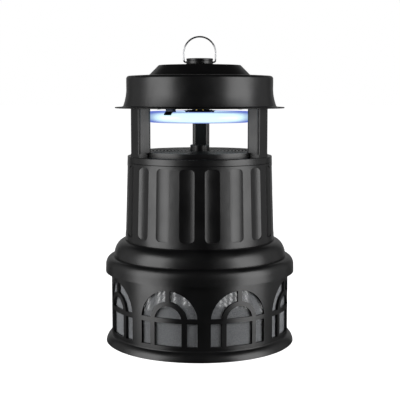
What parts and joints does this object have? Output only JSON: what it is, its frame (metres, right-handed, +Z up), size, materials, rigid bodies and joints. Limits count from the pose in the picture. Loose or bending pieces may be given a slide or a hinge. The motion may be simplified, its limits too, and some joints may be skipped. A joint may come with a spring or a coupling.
{
  "type": "electric bug zapper",
  "caption": "Free-standing round fan-assisted ultraviolet insect trap with a screened catch basket that twists off, a ring lamp under a domed cap and a hanging ring.",
  "frame": {"origin": "centre of the base at the level of the feet's undersides", "axes": "+Z up along the column's axis; the front of the trap faces -Y, so the rear pillar and the cord inlet are at +Y"},
  "size_m": [0.2836, 0.2836, 0.4576],
  "materials": {
    "housing_plastic": "satin moulded black",
    "fan_plastic": "satin moulded black",
    "lamp_glass": "phosphor coated, glowing",
    "lamp_plastic": "satin moulded",
    "gland_rubber": "matt moulded",
    "foot_rubber": "matt moulded",
    "screen_mesh": "black coated woven wire",
    "ring_wire": "blackened drawn wire",
    "screw_steel": "zinc plated",
    "shaft_steel": "ground bright",
    "clip_steel": "spring steel strip",
    "bracket_metal": "black powder coat",
    "motor_metal": "dark enamel",
    "contact_brass": "bright",
    "board_laminate": "solder-resist green",
    "choke_iron": "laminated, varnished",
    "capacitor_sleeve": "shrink sleeve"
  },
  "bodies": {
    "basket": {"rubber_feet": "foot_rubber", "base_ring": "housing_plastic", "base_pan": "housing_plastic", "base_screws": "screw_steel", "cage_frame": "housing_plastic", "screen_sleeve": "screen_mesh", "screen_hoop": "housing_plastic"},
    "twist_lock": {"lock_ring": "housing_plastic"},
    "rotor": {"fan_rotor": "fan_plastic", "motor_shaft": "shaft_steel", "fan_nut": "screw_steel"},
    "hanger": {"hanging_ring": "ring_wire"},
    "head": {"collar": "housing_plastic", "skirt_ring": "housing_plastic", "collar_screws": "screw_steel", "body_shell": "housing_plastic", "body_screws": "screw_steel", "fan_duct": "housing_plastic", "intake_grille": "housing_plastic", "grille_screws": "screw_steel", "motor_bracket": "bracket_metal", "bracket_screws": "screw_steel", "fan_motor": "motor_metal", "motor_screws": "screw_steel", "pillar_left": "housing_plastic", "pillar_right": "housing_plastic", "pillar_rear": "housing_plastic", "pillar_foot_screws": "screw_steel", "pillar_head_screws": "screw_steel", "cap_shell": "housing_plastic", "cap_plate": "housing_plastic", "cap_screws": "screw_steel", "cord_inlet": "gland_rubber", "lamp_tube": "lamp_glass", "lamp_connector": "lamp_plastic", "lamp_pins": "contact_brass", "lamp_socket": "lamp_plastic", "lamp_clip": "clip_steel", "ballast_board": "board_laminate", "board_posts": "housing_plastic", "board_screws": "screw_steel", "ballast_choke": "choke_iron", "ballast_capacitors": "capacitor_sleeve", "hanger_knob": "housing_plastic", "hanger_washer": "screw_steel", "hanger_bolt": "screw_steel"}
  },
  "joints": [
    {"name": "lock_twist", "type": "hinge", "parent": "basket", "child": "twist_lock", "pos_m": [0, 0, 0.119], "axis": [0, 0, 1], "range_deg": [0, 20]},
    {"name": "head_lift", "type": "slide", "parent": "twist_lock", "child": "head", "axis": [0, 0, 1], "range_m": [0, 0.06]},
    {"name": "fan_spin", "type": "hinge", "parent": "head", "child": "rotor", "pos_m": [0, 0, 0.225], "axis": [0, 0, 1], "continuous": true},
    {"name": "ring_swing", "type": "hinge", "parent": "head", "child": "hanger", "pos_m": [0, 0, 0.419], "axis": [1, 0, 0], "range_deg": [-88, 88]}
  ]
}
